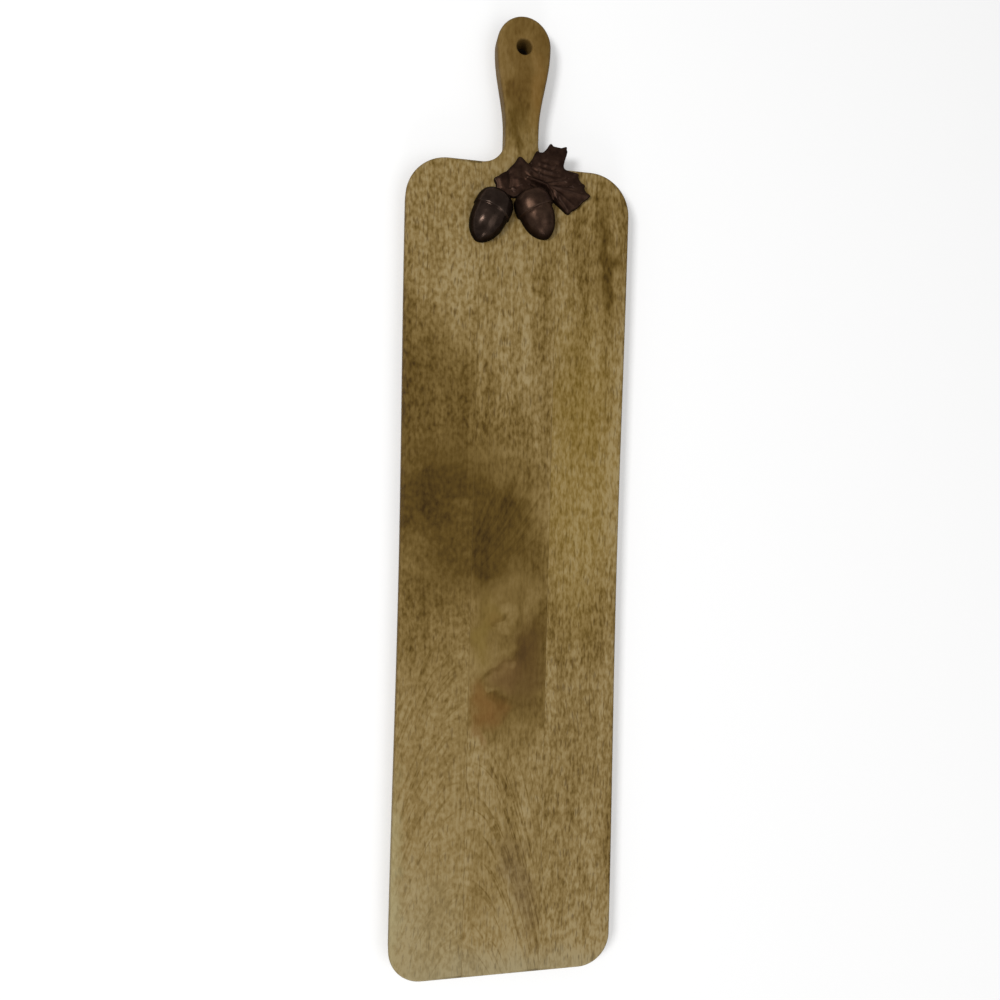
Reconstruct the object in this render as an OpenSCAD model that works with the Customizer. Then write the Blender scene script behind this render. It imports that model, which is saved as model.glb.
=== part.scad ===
// Paddle serving board. Three edge-glued staves make the blade, and the middle one runs on
// into a waisted handle with a hanging hole. A cast oak leaf and two cast acorns, held by
// screws from the back, lie where the neck meets the right shoulder.
// The board lies on its back: +X runs across it, +Y towards the handle and +Z out of the
// face with the ornament. The origin is under the middle of the overall length.

/* [Blade] */
// Length of the blade from its foot to its shoulders
blade_l = 644.5; // [480:0.5:720]
// Width of the blade at its shoulders
shoulder_w = 181; // [150:1:220]
// How much narrower the blade is at its foot
foot_narrowing = 2; // [-8:0.5:12]
// Depth that each long side is sanded in at its middle
side_hollow = 1.7; // [0:0.1:5]
// Thickness of the staves
board_t = 16; // [13:0.5:25]
// Radius of the shoulder corners
shoulder_r = 33; // [15:1:40]
// Radius of the foot corners
foot_r = 26; // [15:1:45]
// Radius that eases the edges of both faces
edge_r = 3; // [1:0.25:5]

/* [Handle] */
// Length of the handle beyond the shoulders
handle_l = 117.5; // [100:0.5:160]
// Width of the handle at its swell
handle_w = 43.5; // [36:0.5:50]
// Length of the rounded end beyond the swell
handle_end_l = 23; // [20:0.5:40]
// Width of the neck at its narrowest
neck_w = 27.2; // [22:0.2:34]
// Length of the straight part of the neck
neck_l = 9.5; // [2:0.5:15]
// Radius that blends the neck into the shoulders
neck_r = 18; // [8:0.5:22]
// Diameter of the hanging hole
hang_d = 12; // [6:0.5:14]
// Distance of the hole's centre from the tip of the handle
hang_from_tip = 24.5; // [18:0.5:30]
// Radius that eases the rims of the hole
hang_rim_r = 2; // [0.5:0.25:2.5]

/* [Glue-up] */
// Width of the centre stave
centre_stave_w = 62; // [56:1:76]
// Shift of the centre stave to the right of the middle line
centre_stave_shift = -1; // [-2:0.5:2]
// Thickness of the glue lines
glue_t = 0.2; // [0.1:0.05:0.5]

/* [Acorns] */
// Diameter of the caps at their brims
cap_d = 31.2; // [28:0.2:36]
// Height of the caps above their brims
cap_l = 16.5; // [13:0.5:20]
// Radius of the lip that rounds each brim
brim_r = 1; // [0.5:0.1:2]
// Diameter of the left nut where it leaves its cap
left_nut_d = 29; // [22:0.2:30]
// Length of the left nut beyond its brim
left_nut_l = 26; // [18:0.5:32]
// Lean of the left acorn's tip to the left, in degrees
left_lean = 25; // [5:1:35]
// Diameter of the right nut where it leaves its cap
right_nut_d = 27.8; // [22:0.2:30]
// Length of the right nut beyond its brim
right_nut_l = 23; // [18:0.5:32]
// Lean of the right acorn's tip to the right, in degrees
right_lean = 26; // [5:1:35]
// Height of the acorns' axes above the face
acorn_axis_h = 1.5; // [0.5:0.25:4]
// Place of the pair of acorns to the right of the middle line
acorns_x = -6; // [-15:0.1:5]
// Drop of the pair of acorns below the shoulders
acorns_drop = 36.5; // [30:0.5:50]
// How far the right acorn sits above the left one
right_acorn_rise = 3.5; // [0:0.5:8]
// Clearance between the two caps
acorn_gap = 0.4; // [0.2:0.1:2]

/* [Leaf] */
// Length of the leaf between the ends of its left and right lobes
leaf_l = 78.5; // [66:0.5:88]
// Place of the heart to the right of the middle line
leaf_x = 16; // [10:0.5:22]
// Drop of the heart below the shoulders
leaf_drop = 15.5; // [12:0.5:20]
// Thickness of the leaf at its edge
leaf_edge_t = 3; // [2:0.25:5]
// Rise of the leaf from its edge to its heart
leaf_crown = 3.5; // [2:0.25:6]
// Radius that rounds the edge of the leaf
leaf_round_r = 1.5; // [0.5:0.1:2]
// Height of the veins above the leaf
vein_h = 1.2; // [0.5:0.1:2.5]
// Half width of the veins
vein_w = 1.6; // [1:0.1:2.5]
// Radius of the twig's knot between the caps
knot_r = 2.6; // [1.5:0.1:3.5]
// Clearance between the leaf and the acorns
leaf_gap = 0.3; // [0.15:0.05:0.6]

/* [Screws] */
// Diameter of the screws
screw_d = 4; // [3:0.5:5]
// Diameter of the countersunk heads
screw_head_d = 7.5; // [6.5:0.5:9]
// Depth of the heads' faces below the back of the board
head_sink = 0.6; // [0.2:0.1:1.5]
// Length of thread in each acorn
acorn_thread_l = 9; // [5:0.5:12]
// Length of thread in the leaf
leaf_thread_l = 3.6; // [2:0.1:4]
// Clearance round the screws in the wood
shank_gap = 0.25; // [0.1:0.05:0.5]
// Clearance round the threads in the castings
thread_gap = 0.1; // [0.05:0.05:0.2]

/* [Hidden] */
$fn = 48;

// Overrun of every cut past the surface that it opens
overrun = 1;
// Room left beyond the end of each thread
thread_end_gap = 0.5;

// Width at the foot, and stations along the board
foot_w = shoulder_w - foot_narrowing;
board_l = blade_l + handle_l;
tip_y = board_l / 2;
foot_y = -board_l / 2;
shoulder_y = foot_y + blade_l;
swell_y = tip_y - handle_end_l;
flank_l = handle_l - handle_end_l - neck_l - neck_r;
side_top_y = shoulder_y - shoulder_r;
side_l = blade_l - shoulder_r - foot_r;
hang_y = tip_y - hang_from_tip;

// Glue joints across the board
left_joint_x = centre_stave_shift - centre_stave_w / 2;
right_joint_x = centre_stave_shift + centre_stave_w / 2;
half_board_w = max(shoulder_w, foot_w) / 2;

// Steps along each curve of the outline and round each eased edge
tip_steps = 10;
flank_steps = 10;
neck_steps = 7;
corner_steps = 8;
side_steps = 8;
edge_steps = 4;
rim_steps = 5;

// Shape of the acorns: how square the cap is, how full and how blunt the nut is
cap_square = 2.9;
nut_full = 2.4;
nut_blunt = 0.62;
cap_steps = 9;
nut_steps = 12;
brim_steps = 3;
// Height of the cap's middle above the brim, as a share of the cap's height
cap_middle_share = 0.12;

// Hexagon socket of the screws, as shares of the screw's diameter
socket_w_share = 0.72;
socket_deep_share = 0.4;

// Points and notches of the leaf's edge, round from its left tip: angle from +X and share of
// the reach
leaf_tip_shares = [
    [178, 0.93], [170, 0.785], [159, 0.675], [131, 0.675], [127, 0.44], [100, 0.65], [88, 0.61],
    [79, 0.825], [68.5, 0.79], [58, 0.915], [53.5, 0.84], [39.5, 0.54], [21, 0.785], [12, 0.76],
    [4.5, 0.865], [-3, 0.87], [-7, 1], [-27, 0.82], [-45, 0.755], [-49, 0.445], [-55, 0.35],
    [-75, 0.27], [-105, 0.21], [-140, 0.48], [-155, 0.69], [-168, 0.89]
];
// Way from each of those points to the next bay over which the edge is rounded, as a share
leaf_round_share = 0.5;
leaf_tip_steps = 3;
// Pull of the edge towards the heart between two of its points
leaf_bay_share = 0.97;
// Rings from the heart to the edge, as shares of the way
leaf_ring_shares = [0.14, 0.28, 0.42, 0.56, 0.7, 0.82, 0.92, 0.97, 1];
// Veins, folds and grooves: share of the veins' height, then the route in shares of the reach
leaf_vein_shares = [
    [1.35, [[-0.3, 0.08], [-0.15, 0.1], [0, 0.1], [0.1, 0.04], [0.18, -0.07], [0.28, -0.24]]],
    [-1, [[-0.24, -0.02], [-0.1, -0.01], [0.03, -0.02], [0.1, -0.1]]],
    [1, [[0.1, 0.04], [0.2, 0.09], [0.37, 0.13], [0.47, 0.2], [0.71, 0.27]]],
    [1, [[0.15, -0.01], [0.36, -0.07], [0.54, -0.11], [0.73, -0.12], [0.94, -0.14]]],
    [1.1, [[0.18, -0.07], [0.31, -0.15], [0.38, -0.26], [0.49, -0.47]]],
    [0.8, [[0.21, -0.12], [0.29, -0.19], [0.34, -0.32]]],
    [0.7, [[0.31, -0.15], [0.46, -0.24], [0.6, -0.35]]],
    [0.7, [[0.2, 0.09], [0.48, 0.06], [0.83, 0.06]]],
    [1, [[0, 0.1], [0.09, 0.26], [0.13, 0.44], [0.15, 0.76]]],
    [0.75, [[0.09, 0.26], [0.29, 0.48], [0.45, 0.71]]],
    [0.7, [[0, 0.1], [-0.06, 0.34], [-0.1, 0.58]]],
    [0.9, [[-0.15, 0.1], [-0.28, 0.23], [-0.41, 0.45]]],
    [0.8, [[-0.3, 0.08], [-0.51, 0.08], [-0.73, 0.06], [-0.9, 0]]],
    [1.1, [[-0.8, 0.03], [-0.77, -0.03], [-0.73, -0.15]]],
    [1.1, [[-0.52, 0.13], [-0.5, 0.03], [-0.48, -0.07]]],
    [-1.4, [[-0.61, 0.07], [-0.58, -0.05], [-0.59, -0.15]]]
];
// Share of its height that a vein keeps at the edge
vein_end_share = 0.4;
// Places of the leaf's screws: angle from +X and share of the reach
leaf_screw_shares = [[145, 0.34], [-14, 0.53]];
// Place of the twig's knot: angle from +X and share of the reach
knot_shares = [-163.5, 0.57];

wood_left = [0.5, 0.42, 0.26];
wood_centre = [0.47, 0.38, 0.22];
wood_right = [0.5, 0.41, 0.24];
glue_colour = [0.38, 0.29, 0.16];
bronze_brown = [0.22, 0.15, 0.12];
bronze_grey = [0.21, 0.17, 0.15];
steel_colour = [0.6, 0.6, 0.58];

function mix(a, b, t) = a + (b - a) * t;
function polar(angle, r) = [r * cos(angle), r * sin(angle)];
function edge_point(p, outward) = [p, outward / norm(outward)];

// Right half of the outline from the tip of the handle to the foot, as points with their
// outward directions: the tip, the flank, the blend, the shoulder corner, the side, the foot
tip_edge = [
    for (i = [0:tip_steps])
        let (a = 90 * i / tip_steps)
        edge_point(
            [handle_w / 2 * sin(a), swell_y + handle_end_l * cos(a)],
            [handle_end_l * sin(a), handle_w / 2 * cos(a)]
        )
];
flank_edge = [
    for (i = [1:flank_steps])
        let (u = i / flank_steps, narrowing = (handle_w - neck_w) / 2)
        edge_point(
            [handle_w / 2 - narrowing * (1 - cos(180 * u)) / 2, swell_y - flank_l * u],
            [flank_l, -narrowing * sin(180 * u) * PI / 2]
        )
];
neck_edge = [
    for (i = [0:neck_steps])
        let (toward = polar(180 + 90 * i / neck_steps, 1))
        edge_point([neck_w / 2 + neck_r, shoulder_y + neck_r] + neck_r * toward, -toward)
];
shoulder_edge = [
    for (i = [0:corner_steps])
        let (toward = polar(90 - 90 * i / corner_steps, 1))
        edge_point([shoulder_w / 2 - shoulder_r, side_top_y] + shoulder_r * toward, toward)
];
side_edge = [
    for (i = [1:side_steps - 1])
        let (u = i / side_steps)
        edge_point(
            [
                mix(shoulder_w, foot_w, u) / 2 - side_hollow * (1 - cos(360 * u)) / 2,
                side_top_y - side_l * u
            ],
            [side_l, (foot_w - shoulder_w) / 2 - side_hollow * sin(360 * u) * PI]
        )
];
foot_edge = [
    for (i = [0:corner_steps])
        let (toward = polar(-90 * i / corner_steps, 1))
        edge_point([foot_w / 2 - foot_r, foot_y + foot_r] + foot_r * toward, toward)
];
half_edge = concat(tip_edge, flank_edge, neck_edge, shoulder_edge, side_edge, foot_edge);
half_n = len(half_edge);
ring_n = 2 * half_n - 1;
// The shoulder lies level, so its outer end takes no line across the board
level_i = len(tip_edge) + len(flank_edge) + len(neck_edge);

// Inset and height of each ring of the slab, round the lower edge and then the upper one
function eased(i) = edge_r * [1 - sin(90 * i / edge_steps), 1 - cos(90 * i / edge_steps)];
slab_rings = concat(
    [for (i = [0:edge_steps]) eased(i)],
    [for (i = [edge_steps:-1:0]) [eased(i).x, board_t - eased(i).y]]
);

function inset_point(i, inset) = half_edge[i][0] - inset * half_edge[i][1];
function slab_ring(inset, z) = concat(
    [for (i = [0:half_n - 1]) let (p = inset_point(i, inset)) [p.x, p.y, z]],
    [for (i = [half_n - 1:-1:1]) let (p = inset_point(i, inset)) [-p.x, p.y, z]]
);
function fan(face) = [for (i = [1:len(face) - 2]) [face[0], face[i], face[i + 1]]];
function flipped(faces) = [for (f = faces) [f[0], f[2], f[1]]];
function band_faces(rings, n) = [
    for (k = [0:rings - 2], i = [0:n - 1])
        let (a = k * n + i, b = k * n + (i + 1) % n)
        each [[a, b, b + n], [a, b + n, a + n]]
];

// Flat face of the slab, in strips between the points of the right half and their mirror images
rungs = [for (i = [1:half_n - 1]) if (i != level_i) i];
function strip(i, j) = concat(
    [j],
    [for (k = [j:-1:i]) ring_n - k],
    [for (k = [i:j - 1]) k]
);
flat_faces = concat(
    [[1, ring_n - 1, 0]],
    [for (r = [0:len(rungs) - 2]) each fan(strip(rungs[r], rungs[r + 1]))]
);

module slab() {
    top = (len(slab_rings) - 1) * ring_n;
    polyhedron(
        points = [for (r = slab_rings) each slab_ring(r.x, r.y)],
        faces = concat(
            band_faces(len(slab_rings), ring_n),
            flipped(flat_faces),
            [for (f = flat_faces) [for (i = f) i + top]]
        )
    );
}

// Cutter of the hanging hole, with a rounded rim at each face
module hang_hole() {
    r = hang_d / 2;
    rim = [
        for (i = [0:rim_steps])
            let (a = 90 * i / rim_steps)
            [r + hang_rim_r * (1 - cos(a)), hang_rim_r * (1 - sin(a))]
    ];
    half_t = board_t / 2;
    translate([0, hang_y, half_t])
        rotate_extrude()
            polygon(concat(
                [[0, half_t + overrun], [0, -half_t - overrun]],
                [[r + hang_rim_r, -half_t - overrun]],
                [for (i = [rim_steps:-1:0]) [rim[i].x, rim[i].y - half_t]],
                [for (i = [0:rim_steps]) [rim[i].x, half_t - rim[i].y]],
                [[r + hang_rim_r, half_t + overrun]]
            ));
}

// Places of the acorns and of the leaf on the face
cap_middle = cap_l * cap_middle_share;
function cap_curve(grow) = [
    for (i = [0:cap_steps])
        let (a = 90 * i / cap_steps)
        [
            (cap_d / 2 + grow) * pow(max(cos(a), 0), 2 / cap_square),
            -(cap_l + grow) * pow(sin(a), 2 / cap_square)
        ]
];
cap_swing = max([for (p = cap_curve(0)) norm(p + [0, cap_middle])]);
acorn_pitch = sqrt(pow(2 * cap_swing + acorn_gap, 2) - pow(right_acorn_rise, 2));
pair_at = [acorns_x, shoulder_y - acorns_drop];
left_acorn_at = pair_at - [acorn_pitch, right_acorn_rise] / 2;
right_acorn_at = pair_at + [acorn_pitch, right_acorn_rise] / 2;
left_acorn_angle = -90 - left_lean;
right_acorn_angle = -90 + right_lean;
leaf_at = [leaf_x, shoulder_y - leaf_drop];

// Edge of the leaf from its heart, in shares of the reach: rounded points and notches with a
// shallow bay between each two
function bend(a, b, c, u) = mix(mix(a, b, u), mix(b, c, u), u);
function leaf_tip(i) =
    let (n = len(leaf_tip_shares), tip = leaf_tip_shares[(i + n) % n])
    polar(tip[0], tip[1]);
function leaf_bay(i) = (leaf_tip(i) + leaf_tip(i + 1)) / 2 * leaf_bay_share;
function rounded_tip(i) =
    let (
        start = mix(leaf_tip(i), leaf_bay(i - 1), leaf_round_share),
        end = mix(leaf_tip(i), leaf_bay(i), leaf_round_share)
    )
    [for (k = [0:leaf_tip_steps]) bend(start, leaf_tip(i), end, k / leaf_tip_steps)];
leaf_edge_shares = [
    for (i = [0:len(leaf_tip_shares) - 1])
        each concat(rounded_tip(i), [leaf_bay(i)])
];
leaf_x_shares = [for (e = leaf_edge_shares) e.x];

// Reach of the leaf's longest lobe from its heart
leaf_reach = leaf_l / (max(leaf_x_shares) - min(leaf_x_shares));
leaf_edge = [for (e = leaf_edge_shares) leaf_reach * e];
leaf_n = len(leaf_edge);
function on_leaf(place) = leaf_at + polar(place[0], leaf_reach * place[1]);
acorn_screw_places = [left_acorn_at, right_acorn_at];
leaf_screw_places = [for (place = leaf_screw_shares) on_leaf(place)];

// Hole through the wood for one screw, with its countersink at the back
module screw_hole(place) {
    head_r = screw_head_d / 2 + shank_gap;
    shank_r = screw_d / 2 + shank_gap;
    shank_from = head_sink + (screw_head_d - screw_d) / 2;
    translate([place.x, place.y, 0])
        rotate_extrude()
            polygon([
                [0, -overrun], [head_r, -overrun], [head_r, head_sink],
                [shank_r, shank_from], [shank_r, board_t + overrun], [0, board_t + overrun]
            ]);
}

module screw(place, thread_l) {
    shank_from = head_sink + (screw_head_d - screw_d) / 2;
    end = board_t + thread_l;
    translate([place.x, place.y, 0])
        difference() {
            rotate_extrude()
                polygon([
                    [0, head_sink], [screw_head_d / 2, head_sink],
                    [screw_d / 2, shank_from], [screw_d / 2, end], [0, end]
                ]);
            translate([0, 0, head_sink - overrun])
                cylinder(
                    h = overrun + screw_d * socket_deep_share,
                    d = screw_d * socket_w_share,
                    $fn = 6
                );
        }
}

// Tapped hole in the back of a casting
module thread_hole(place, thread_l) {
    translate([place.x, place.y, board_t - overrun])
        cylinder(h = overrun + thread_l + thread_end_gap, d = screw_d + 2 * thread_gap);
}

// The part of the glued-up board between two lines along it
module lamina(from_x, to_x) {
    difference() {
        intersection() {
            slab();
            translate([from_x, foot_y - overrun, -overrun])
                cube([to_x - from_x, board_l + 2 * overrun, board_t + 2 * overrun]);
        }
        hang_hole();
        for (place = concat(acorn_screw_places, leaf_screw_places))
            screw_hole(place);
    }
}

// Whole acorn, turned about its own axis: tip, nut, rounded brim, cap
module acorn_turning(nut_d, nut_l, grow = 0) {
    nut_r = nut_d / 2 + grow;
    lip_r = brim_r + grow;
    nut = [
        for (i = [0:nut_steps])
            let (t = cos(90 * i / nut_steps))
            [nut_r * pow(1 - pow(t, nut_full), nut_blunt), brim_r + (nut_l + grow) * t]
    ];
    lip = [
        for (i = [0:brim_steps - 1])
            let (a = 90 - 90 * i / brim_steps)
            [cap_d / 2 - brim_r + lip_r * cos(a), lip_r * sin(a)]
    ];
    rotate_extrude()
        polygon(concat(nut, lip, cap_curve(grow)));
}

module laid_acorn(place, angle, nut_d, nut_l, grow = 0) {
    translate([place.x, place.y, board_t + acorn_axis_h])
        rotate([0, 0, angle])
            rotate([0, 90, 0])
                translate([0, 0, cap_middle])
                    acorn_turning(nut_d, nut_l, grow);
}

// Acorn with its back cut flat on the face and tapped for its screw
module acorn(place, angle, nut_d, nut_l) {
    difference() {
        intersection() {
            laid_acorn(place, angle, nut_d, nut_l);
            translate([-half_board_w, foot_y, board_t])
                cube([2 * half_board_w, board_l, acorn_axis_h + cap_d]);
        }
        thread_hole(place, acorn_thread_l);
    }
}

// Height of the leaf: its crown, the highest vein and the deepest groove at a place, and the
// rounded edge
function way_off(p, a, b) =
    let (d = b - a, t = max(0, min(1, (p - a) * d / (d * d))))
    norm(p - a - d * t);
function route_off(p, route) = min([
    for (i = [0:len(route) - 2])
        way_off(p, route[i] * leaf_reach, route[i + 1] * leaf_reach)
]);
function leaf_relief(p) =
    let (rises = [for (v = leaf_vein_shares) v[0] * exp(-pow(route_off(p, v[1]) / vein_w, 2))])
    vein_h * (max(rises) + min(rises));
function edge_drop(off) =
    let (brink = max(0, leaf_round_r - off))
    leaf_round_r - sqrt(pow(leaf_round_r, 2) - brink * brink);
function leaf_height(p, s) =
    leaf_edge_t + leaf_crown * (1 - s * s) + leaf_relief(p) * mix(1, vein_end_share, pow(s, 3));
function leaf_ring(s) = [
    for (e = leaf_edge)
        [e.x * s, e.y * s, leaf_height(e * s, s) - edge_drop(norm(e) * (1 - s))]
];

// Leaf standing on the face: its flat back, its edge, then rings that rise to the heart
module leaf_blank() {
    rings = concat(
        [[for (e = leaf_edge) [e.x, e.y, 0]]],
        [for (r = [len(leaf_ring_shares) - 1:-1:0]) leaf_ring(leaf_ring_shares[r])]
    );
    last = (len(rings) - 1) * leaf_n;
    back = len(rings) * leaf_n;
    heart = back + 1;
    translate([leaf_at.x, leaf_at.y, board_t])
        polyhedron(
            points = concat(
                [for (r = rings) each r],
                [[0, 0, 0], [0, 0, leaf_height([0, 0], 0)]]
            ),
            faces = concat(
                band_faces(len(rings), leaf_n),
                [for (i = [0:leaf_n - 1]) [i, back, (i + 1) % leaf_n]],
                [for (i = [0:leaf_n - 1]) [last + i, last + (i + 1) % leaf_n, heart]]
            )
        );
}

module left_stave()
    color(wood_left)
        lamina(-half_board_w - overrun, left_joint_x - glue_t / 2);

module centre_stave()
    color(wood_centre)
        lamina(left_joint_x + glue_t / 2, right_joint_x - glue_t / 2);

module right_stave()
    color(wood_right)
        lamina(right_joint_x + glue_t / 2, half_board_w + overrun);

module left_glue_line()
    color(glue_colour)
        lamina(left_joint_x - glue_t / 2, left_joint_x + glue_t / 2);

module right_glue_line()
    color(glue_colour)
        lamina(right_joint_x - glue_t / 2, right_joint_x + glue_t / 2);

module oak_leaf() {
    knot_at = on_leaf(knot_shares);
    color(bronze_brown)
        difference() {
            union() {
                leaf_blank();
                translate([knot_at.x, knot_at.y, board_t + leaf_edge_t])
                    sphere(r = knot_r);
            }
            laid_acorn(left_acorn_at, left_acorn_angle, left_nut_d, left_nut_l, leaf_gap);
            laid_acorn(right_acorn_at, right_acorn_angle, right_nut_d, right_nut_l, leaf_gap);
            for (place = leaf_screw_places)
                thread_hole(place, leaf_thread_l);
        }
}

module left_acorn()
    color(bronze_grey)
        acorn(left_acorn_at, left_acorn_angle, left_nut_d, left_nut_l);

module right_acorn()
    color(bronze_brown)
        acorn(right_acorn_at, right_acorn_angle, right_nut_d, right_nut_l);

module acorn_screws()
    color(steel_colour)
        for (place = acorn_screw_places)
            screw(place, acorn_thread_l);

module leaf_screws()
    color(steel_colour)
        for (place = leaf_screw_places)
            screw(place, leaf_thread_l);

left_stave();
centre_stave();
right_stave();
left_glue_line();
right_glue_line();
oak_leaf();
left_acorn();
right_acorn();
acorn_screws();
leaf_screws();
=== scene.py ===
import math

import bmesh
import bpy
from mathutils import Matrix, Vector
from mathutils import noise as solid_noise


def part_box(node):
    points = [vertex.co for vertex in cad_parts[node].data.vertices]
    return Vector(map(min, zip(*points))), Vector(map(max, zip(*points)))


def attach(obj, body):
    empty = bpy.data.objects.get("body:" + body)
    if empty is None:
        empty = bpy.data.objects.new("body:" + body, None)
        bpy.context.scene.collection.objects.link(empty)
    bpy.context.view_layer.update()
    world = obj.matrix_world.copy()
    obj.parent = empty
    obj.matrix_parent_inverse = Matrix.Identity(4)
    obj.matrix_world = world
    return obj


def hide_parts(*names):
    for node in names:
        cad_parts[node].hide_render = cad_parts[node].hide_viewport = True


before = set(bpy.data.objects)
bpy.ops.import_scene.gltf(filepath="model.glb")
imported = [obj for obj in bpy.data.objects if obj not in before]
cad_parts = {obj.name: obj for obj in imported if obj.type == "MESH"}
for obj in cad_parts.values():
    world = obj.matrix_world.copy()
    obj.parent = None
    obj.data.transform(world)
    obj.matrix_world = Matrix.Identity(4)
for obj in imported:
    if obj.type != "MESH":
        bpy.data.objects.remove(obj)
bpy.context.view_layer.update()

# Viewpoint
# The board lies on its back and is looked at from above. The camera stands a little to the left of
# the middle line and leans back towards it, with a wide lens.
camera_place = (-0.1118, 0.0001, 0.57602)
camera_turn = (-0.542, -10.23, 1.474)
camera_lens = 25.92

camera = bpy.data.objects.new("camera", bpy.data.cameras.new("camera"))
camera.location = camera_place
camera.rotation_euler = [math.radians(turn) for turn in camera_turn]
camera.data.lens = camera_lens
bpy.context.scene.collection.objects.link(camera)
bpy.context.scene.camera = camera

# Staves
# Three planed lengths of mango wood, glued edge to edge, sawn to the outline of a paddle, eased by
# sanding along both faces and oiled. The middle one runs on into the handle with its hanging hole.
foot_low, tip_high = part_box("centre_stave")
side_low, shoulder_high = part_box("left_stave")
left_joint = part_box("left_glue_line")
right_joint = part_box("right_glue_line")
board_t = tip_high.z
tip_y = tip_high.y
foot_y = foot_low.y
shoulder_y = shoulder_high.y
shoulder_w = -2 * side_low.x
foot_narrowing = 0.002
foot_w = shoulder_w - foot_narrowing
side_hollow = 0.0017
shoulder_r = 0.033
foot_r = 0.026
edge_r = 0.003
handle_w = 0.0435
handle_end_l = 0.023
neck_w = 0.0272
neck_l = 0.0095
neck_r = 0.018
hang_r = 0.006
hang_from_tip = 0.0245
hang_y = tip_y - hang_from_tip
hang_rim_r = 0.002

swell_y = tip_y - handle_end_l
flank_l = swell_y - shoulder_y - neck_l - neck_r
side_top_y = shoulder_y - shoulder_r
side_l = side_top_y - foot_y - foot_r

tip_steps = 40
flank_steps = 40
corner_steps = 28
side_steps = 60
edge_steps = 8
hang_steps = 64


def towards(degrees):
    """A step of length 1 in the plane of the board, turned by some degrees from +X."""
    return Vector((math.cos(math.radians(degrees)), math.sin(math.radians(degrees))))


def corner(centre, radius, start, end):
    """Points of a round corner, each with its outward direction."""
    turns = [start + (end - start) * i / corner_steps for i in range(corner_steps + 1)]
    return [(Vector(centre) + radius * towards(turn), towards(turn)) for turn in turns]


def half_outline():
    """Right half of the paddle from the tip of the handle to the middle of the foot."""
    points = []
    for i in range(tip_steps):
        a = math.pi / 2 * i / tip_steps
        place = Vector((handle_w / 2 * math.sin(a), swell_y + handle_end_l * math.cos(a)))
        points.append((place, Vector((handle_end_l * math.sin(a), handle_w / 2 * math.cos(a)))))
    narrowing = (handle_w - neck_w) / 2
    for i in range(flank_steps + 1):
        u = i / flank_steps
        width = handle_w / 2 - narrowing * (1 - math.cos(math.pi * u)) / 2
        slope = narrowing * math.pi / 2 * math.sin(math.pi * u)
        points.append((Vector((width, swell_y - flank_l * u)), Vector((flank_l, -slope))))
    fillet = corner((neck_w / 2 + neck_r, shoulder_y + neck_r), neck_r, 180, 270)
    points += [(place, -inward) for place, inward in fillet]
    points += corner((shoulder_w / 2 - shoulder_r, side_top_y), shoulder_r, 90, 0)
    for i in range(1, side_steps):
        u = i / side_steps
        hollow = side_hollow * (1 - math.cos(2 * math.pi * u)) / 2
        width = (shoulder_w + (foot_w - shoulder_w) * u) / 2 - hollow
        lean = (foot_w - shoulder_w) / 2 - side_hollow * math.pi * math.sin(2 * math.pi * u)
        points.append((Vector((width, side_top_y - side_l * u)), Vector((side_l, lean))))
    points += corner((foot_w / 2 - foot_r, foot_y + foot_r), foot_r, 0, -90)
    points.append((Vector((0, foot_y)), Vector((0, -1))))
    return [(place, outward.normalized()) for place, outward in points]


right_half = half_outline()
left_half = [(Vector((-p.x, p.y)), Vector((-n.x, n.y))) for p, n in right_half[-2:0:-1]]
paddle = right_half + left_half


def stave_outline(from_x, to_x):
    """The paddle's outline between two lines along it. A point on a glue joint is marked True."""
    kept = []
    for (p, n), (q, m) in zip(paddle, paddle[1:] + paddle[:1]):
        if from_x < p.x < to_x:
            kept.append((p, n, False))
        crossed = [line for line in (from_x, to_x) if (p.x - line) * (q.x - line) < 0]
        for share in sorted((line - p.x) / (q.x - p.x) for line in crossed):
            kept.append((p.lerp(q, share), n.lerp(m, share).normalized(), True))
    return kept


def inset(place, outward, on_joint, depth):
    """A point of the outline moved inwards, along the joint where it lies on one."""
    if on_joint:
        return place - Vector((0, depth / outward.y))
    return place - outward * depth


def eased_rings():
    """Inset and height of the rings of a stave, round the lower edge and then round the upper one."""
    quarter = [math.pi / 2 * i / edge_steps for i in range(edge_steps + 1)]
    lower = [(edge_r * (1 - math.sin(a)), edge_r * (1 - math.cos(a))) for a in quarter]
    return lower + [(depth, board_t - height) for depth, height in reversed(lower)]


def hole_rings():
    """Radius and height of the rings of the hanging hole, with a rounded rim at each face."""
    quarter = [math.pi / 2 * i / edge_steps for i in range(edge_steps + 1)]
    lower = [(hang_r + hang_rim_r * (1 - math.sin(a)), hang_rim_r * (1 - math.cos(a))) for a in quarter]
    return lower + [(radius, board_t - height) for radius, height in reversed(lower)]


def put_in_scene(name, mesh):
    """Names a finished mesh, makes an object of it and puts it in the scene."""
    shape = bpy.data.meshes.new(name)
    bmesh.ops.recalc_face_normals(mesh, faces=mesh.faces)
    mesh.to_mesh(shape)
    mesh.free()
    piece = bpy.data.objects.new(name, shape)
    bpy.context.scene.collection.objects.link(piece)
    return piece


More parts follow.
